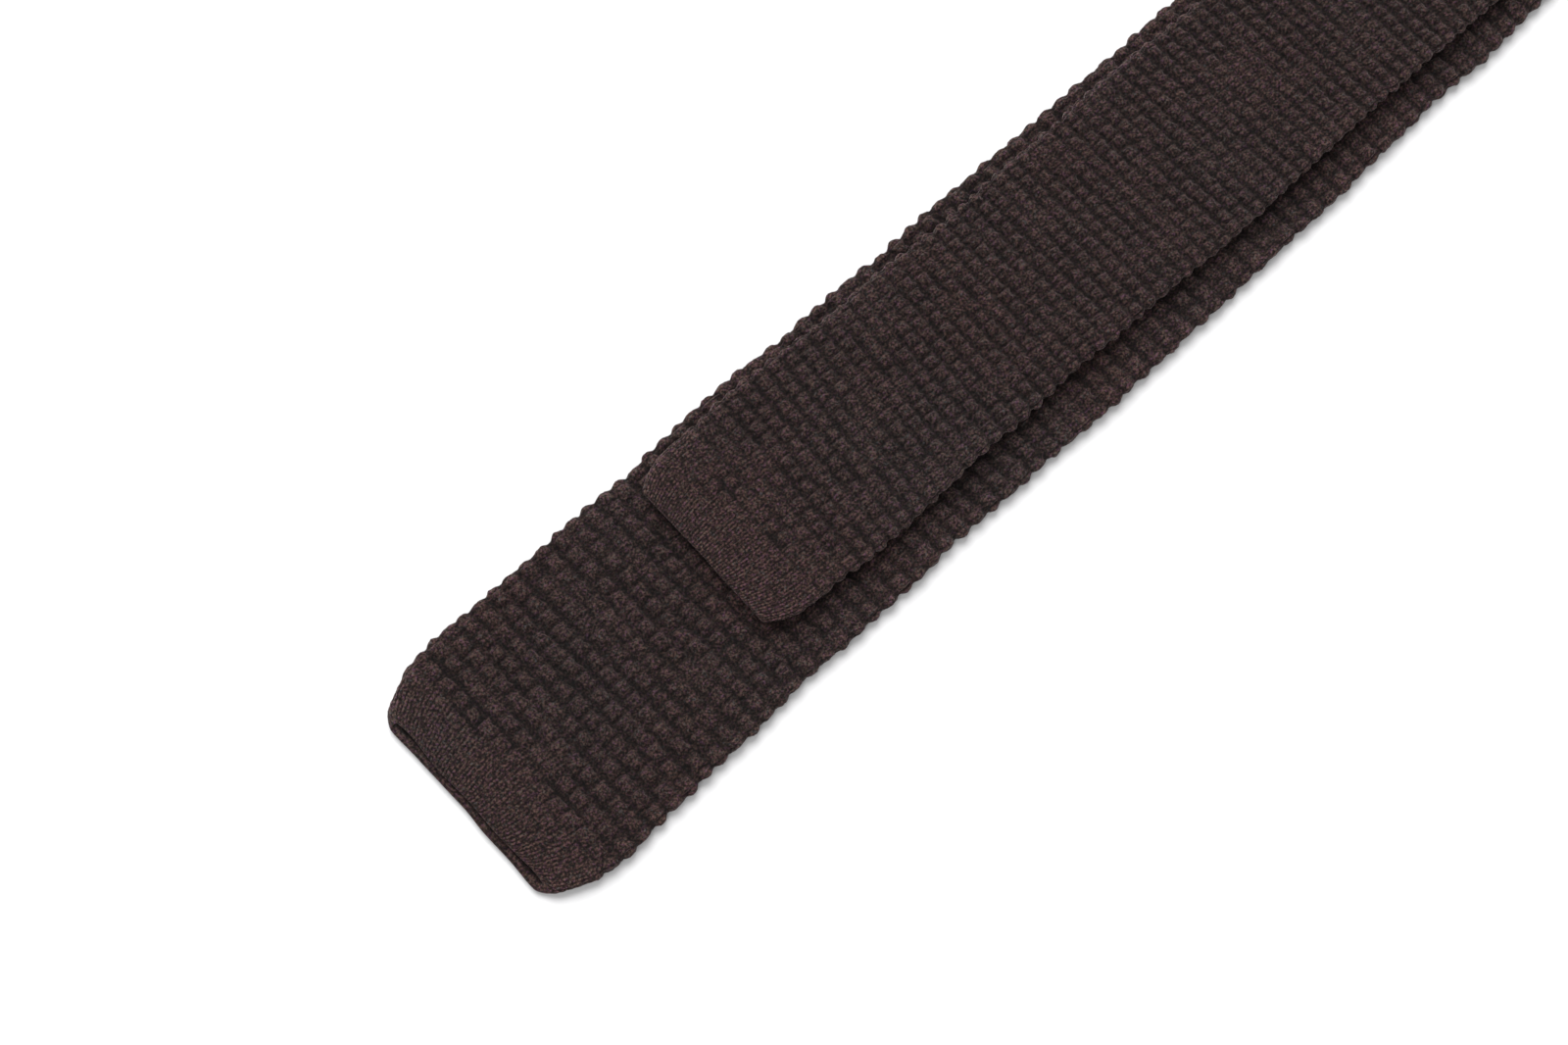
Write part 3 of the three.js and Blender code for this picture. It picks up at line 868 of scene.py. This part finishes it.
hem_facing("blade_hem_turned_in", "blade_hem_facing", "blade_end", FACING_FROM, FACING_TO)
hem_facing("tail_hem_turned_in", "tail_hem_facing", "tail_end", TOTAL - FACING_TO, TOTAL - FACING_FROM)

# ---- Threads ----

PLY_SIDES = 10          # sides of a thread's section, which is two plies twisted together
PLY_DENT = 0.22         # depth of the dents between the plies, as a share of the radius
PLY_TWIST = 5           # radii of length over which the plies turn by one radian
THREAD_STEP = 0.12      # length between two sections
THREAD_SHADE = 0.7
ROUTE_SAMPLES = 12      # samples to one point of a route, before they are spaced evenly

MOUTH_RADIUS = 0.13     # thread that closes a mouth
MOUTH_PITCH = 2         # width of one pass of its stitches
MOUTH_INSET = 0.5       # it stays this far from the sides of its CAD solid
MOUTH_NEAR = 3.4        # and runs between these two distances behind the end
MOUTH_FAR = 4.6
TAPE_TACK = {"radius": 0.14, "passes": 24, "axis": 1}
KEEPER_TACK = {"radius": 0.17, "passes": 22, "axis": 0}


def twisted_thread(name, route, radius):
    """A two-ply thread along a route of points, in mm, smoothed and evenly spaced."""
    route = np.array(route, float)
    knots = np.arange(len(route))
    at = np.linspace(0, len(route) - 1, ROUTE_SAMPLES * len(route))
    smoothed = np.stack([stations(np.stack([knots, route[:, i]], -1), at) for i in range(3)], -1)
    lengths = np.concatenate([[0], np.cumsum(np.linalg.norm(np.diff(smoothed, axis=0), axis=1))])
    even = np.linspace(0, lengths[-1], int(lengths[-1] / THREAD_STEP))
    path = np.stack([np.interp(even, lengths, smoothed[:, i]) for i in range(3)], -1)
    along = np.gradient(path, axis=0)
    along /= np.linalg.norm(along, axis=1)[:, None]
    side = np.cross(along, [0, 0, 1])
    side /= np.linalg.norm(side, axis=1)[:, None]
    rise = np.cross(side, along)
    angle = np.linspace(0, 2 * math.pi, PLY_SIDES, endpoint=False)
    turn = angle[None, :] + (even / (PLY_TWIST * radius))[:, None]
    size = radius * (1 - PLY_DENT + PLY_DENT * np.cos(2 * angle))[None, :]
    points = path[:, None] + size[..., None] * (
        np.cos(turn)[..., None] * side[:, None] + np.sin(turn)[..., None] * rise[:, None])
    rows = len(path)
    faces = grid_faces(0, rows, PLY_SIDES)
    faces += [list(range(PLY_SIDES))[::-1], [(rows - 1) * PLY_SIDES + i for i in range(PLY_SIDES)]]
    knit = np.zeros((rows * PLY_SIDES, 3))
    knit[:, 2] = THREAD_SHADE
    return make_object(name, points.reshape(-1, 3), faces, knit)


def sew(name, node, body, route, radius):
    finish_piece(twisted_thread(name, route, radius), THREAD, node, body)


def closing_thread(name, node, body, near, far):
    """Whip stitches across the mouth, inside the lips."""
    low, high = corners(node)
    middle_y, reach = (low[1] + high[1]) / 2, (high[1] - low[1]) / 2 - MOUTH_INSET
    stitches = int(2 * reach / MOUTH_PITCH)
    z = float(centre_at(near)[2])
    x_near, x_far = (float(centre_at(s)[0]) for s in (near, far))
    route = [(x_far if i % 2 else x_near, middle_y - reach + 2 * reach * i / stitches, z)
             for i in range(stitches + 1)]
    sew(name, node, body, route, MOUTH_RADIUS)


def tack(name, node, body, radius, passes, axis):
    """A dense zigzag of thread that fills the CAD tack's box. It advances along x, axis 0,
    or along y, axis 1."""
    low, high = corners(node)
    low, high = low + radius, high - radius
    route = []
    for i in range(passes + 1):
        point = (low + high) / 2
        point[axis] = low[axis] + (high[axis] - low[axis]) * i / passes
        point[1 - axis] = (high if i % 2 else low)[1 - axis]
        route.append(point)
    sew(name, node, body, route, radius)


closing_thread("blade_mouth_stitches", "blade_closing_thread", "blade_end", MOUTH_NEAR, MOUTH_FAR)
closing_thread("tail_mouth_stitches", "tail_closing_thread", "tail_end",
               TOTAL - MOUTH_NEAR, TOTAL - MOUTH_FAR)
tack("tape_stitches_blade_side", "tape_tack_blade_side", "blade", **TAPE_TACK)
tack("tape_stitches_tail_side", "tape_tack_tail_side", "tail", **TAPE_TACK)
tack("keeper_stitches_left", "keeper_tack_left", "blade", **KEEPER_TACK)
tack("keeper_stitches_right", "keeper_tack_right", "blade", **KEEPER_TACK)

# ---- Bands: the stay tape and the keeper loop ----

RIM_SHARE = 0.15        # square of the share of a band's thickness that its edges have
BAND_SHADE = 0.9        # painted shade: the shade of the tops of its weave
BAND_GROOVE = 3         # how fast the painted shade darkens it in the grooves


def flat_band(name, along, across, thickness, surface, relief_of):
    """A closed thin slab with rounded edges. surface(along, across, height) places a point
    and relief_of(along, across) is how far the weave stands in from the full thickness."""
    a, b = np.meshgrid(along, across, indexing="ij")
    rows, columns = a.shape
    edge = np.minimum(b - across[0], across[-1] - b)
    thin = thickness / 2 * np.sqrt(np.clip(edge / (thickness / 2), 0, 1) * (1 - RIM_SHARE) + RIM_SHARE)
    high = thin - relief_of(a, b)
    top, under = surface(a, b, high), surface(a, b, -high)
    points = np.concatenate([top.reshape(-1, 3), under.reshape(-1, 3)])
    first = rows * columns
    quad = np.array([r * columns + i for r in range(rows - 1) for i in range(columns - 1)])
    faces = np.stack([quad, quad + 1, quad + columns + 1, quad + columns], -1).tolist()
    faces += (np.stack([quad + columns, quad + columns + 1, quad + 1, quad], -1) + first).tolist()
    rim = list(range(columns)) + [r * columns + columns - 1 for r in range(1, rows)]
    rim += [(rows - 1) * columns + i for i in range(columns - 2, -1, -1)]
    rim += [r * columns for r in range(rows - 2, 0, -1)]
    for i, j in zip(rim, rim[1:] + rim[:1]):
        faces.append([j, i, first + i, first + j])
    # Painted shade in the grooves of the weave.
    shade = np.clip(BAND_SHADE - relief_of(a, b) / thickness * BAND_GROOVE, 0, 1)
    knit = np.stack([0 * a, 0 * b, shade], -1).reshape(-1, 3)
    return make_object(name, points, faces, np.concatenate([knit, knit]))


TAPE_RIB = 1.0          # pitch of the tape's herringbone ribs
TAPE_RELIEF = 0.05      # and their height
TAPE_CHEVRON = 3        # width over which the ribs slant one way
TAPE_ROW = 0.3          # length of one mesh row
TAPE_COLUMNS = 37

tape_low, tape_high = corners("neck_tape_blade_side")
TAPE_HALF = (tape_high[1] - tape_low[1]) / 2
TAPE_THICKNESS = tape_high[2] - tape_low[2]
TAPE_REACH = tape_high[0] - tape_low[0]


def tape_relief(s, y):
    chevron = s / TAPE_RIB + 0.5 * np.abs((y / TAPE_CHEVRON) % 2 - 1)
    return TAPE_RELIEF * (0.5 + 0.5 * np.cos(2 * math.pi * chevron))


def stay_tape():
    middle = BLADE_RUN + FOLD_LENGTH / 2
    fold_from, fold_to = BLADE_RUN - FOLD_MARGIN, TAIL_START + FOLD_MARGIN
    spans = [
        ("stay_tape_blade_side", BLADE_RUN - TAPE_REACH, fold_from, "neck_tape_blade_side", "blade", None),
        ("stay_tape_fold_blade_side", fold_from, middle, "neck_tape_middle", None, BLADE_FOLD),
        ("stay_tape_fold_tail_side", middle, fold_to, "neck_tape_middle", None, TAIL_FOLD),
        ("stay_tape_tail_side", fold_to, TAIL_START + TAPE_REACH, "neck_tape_tail_side", "tail", None),
    ]
    across = np.linspace(-TAPE_HALF, TAPE_HALF, TAPE_COLUMNS)
    for name, start, end, node, body, bend in spans:
        along = np.linspace(start, end, int((end - start) / TAPE_ROW))
        obj = flat_band(name, along, across, TAPE_THICKNESS, place, tape_relief)
        finish_piece(obj, TAPE, node, body, bend)


stay_tape()

KEEPER_STITCH = 1.1     # length of the keeper loop's stitches
KEEPER_WALE = 1.6       # and their width
KEEPER_RELIEF = 0.055   # and half their height
RIB_SHARE = 0.6         # share of the relief that is in its ribs, the rest is in its stitches
KEEPER_ROWS = 170
KEEPER_COLUMNS = 49


def keeper_relief(y, x):
    leg = np.abs((x / KEEPER_WALE) % 1 - 0.5)
    rib = np.cos(4 * math.pi * (leg - 0.25))
    stitch = np.cos(2 * math.pi * (y / KEEPER_STITCH + LEG_SLANT * leg))
    return KEEPER_RELIEF * (1 - RIB_SHARE * rib - (1 - RIB_SHARE) * stitch)


def keeper_surface(y, x, high):
    middle = (keeper_low + keeper_high) / 2
    return np.stack([middle[0] + x, middle[1] + y, middle[2] + high], -1)


def keeper_loop():
    size = (keeper_high - keeper_low) / 2
    along = np.linspace(-size[1], size[1], KEEPER_ROWS)
    across = np.linspace(-size[0], size[0], KEEPER_COLUMNS)
    obj = flat_band("keeper_band", along, across, 2 * size[2], keeper_surface, keeper_relief)
    finish_piece(obj, HEM, "keeper_loop", "blade")


keeper_loop()

# ---- Floor, light and camera ----

UP = Vector((0, 0, 1))
AXIS_ANGLE = math.radians(42.5)     # the tie's length above the picture's horizontal, on the floor
picture_up = Vector((math.sin(AXIS_ANGLE), math.cos(AXIS_ANGLE), 0))
picture_right = Vector((math.cos(AXIS_ANGLE), -math.sin(AXIS_ANGLE), 0))
VIEW_CENTRE = Vector((blade_low[0] + 88.4, -0.5, 4)) * MM

ELEVATION = math.radians(78)        # of the camera above the floor
CAMERA_DISTANCE = 0.9   # in metres, as are the floor and the lights
CAMERA_LENS = 100
FLOOR_SIZE = 8
FLOOR_TONE = (0.78, 0.78, 0.785, 1)
LIGHT_DISTANCE = 4
KEY_SIZE = 3.6
KEY_POWER = 215
FILL_SIZE = 3
FILL_POWER = 48
WORLD_LIGHT = 0.38


def stage_floor():
    bpy.ops.mesh.primitive_plane_add(size=FLOOR_SIZE, location=(0, 0, 0))
    floor = bpy.context.object
    floor.name = "floor"
    material, _, shader = new_material("floor_white")
    shader.inputs["Base Color"].default_value = FLOOR_TONE
    shader.inputs["Roughness"].default_value = 0.9
    shader.inputs["Specular IOR Level"].default_value = 0.1
    floor.data.materials.append(material)


def area_light(name, direction, size, power):
    light = bpy.data.lights.new(name, "AREA")
    light.shape = "DISK"
    light.size = size
    light.energy = power
    obj = bpy.data.objects.new(name, light)
    direction = Vector(direction).normalized()
    obj.location = VIEW_CENTRE + direction * LIGHT_DISTANCE
    obj.rotation_euler = direction.to_track_quat("Z", "Y").to_euler()
    bpy.context.scene.collection.objects.link(obj)


def make_camera():
    camera = bpy.data.cameras.new("camera")
    camera.lens = CAMERA_LENS
    camera.sensor_width = 36
    camera.clip_start = 0.02
    obj = bpy.data.objects.new("camera", camera)
    backward = -picture_up * math.cos(ELEVATION) + UP * math.sin(ELEVATION)
    camera_up = backward.cross(picture_right)
    location = VIEW_CENTRE + backward * CAMERA_DISTANCE
    turn = Matrix((picture_right, camera_up, backward)).transposed()
    obj.matrix_world = Matrix.Translation(location) @ turn.to_4x4()
    bpy.context.scene.collection.objects.link(obj)
    bpy.context.scene.camera = obj


def make_world():
    world = bpy.data.worlds.new("studio")
    world.use_nodes = True
    background = world.node_tree.nodes["Background"]
    background.inputs["Color"].default_value = (1, 1, 1, 1)
    background.inputs["Strength"].default_value = WORLD_LIGHT
    bpy.context.scene.world = world


stage_floor()
make_camera()
make_world()
area_light("key", picture_up * 0.9 - picture_right * 0.25 + UP * 1.35, KEY_SIZE, KEY_POWER)
area_light("fill", -picture_up * 0.7 - picture_right * 0.3 + UP * 1.5, FILL_SIZE, FILL_POWER)
bpy.context.scene.view_settings.view_transform = "Standard"
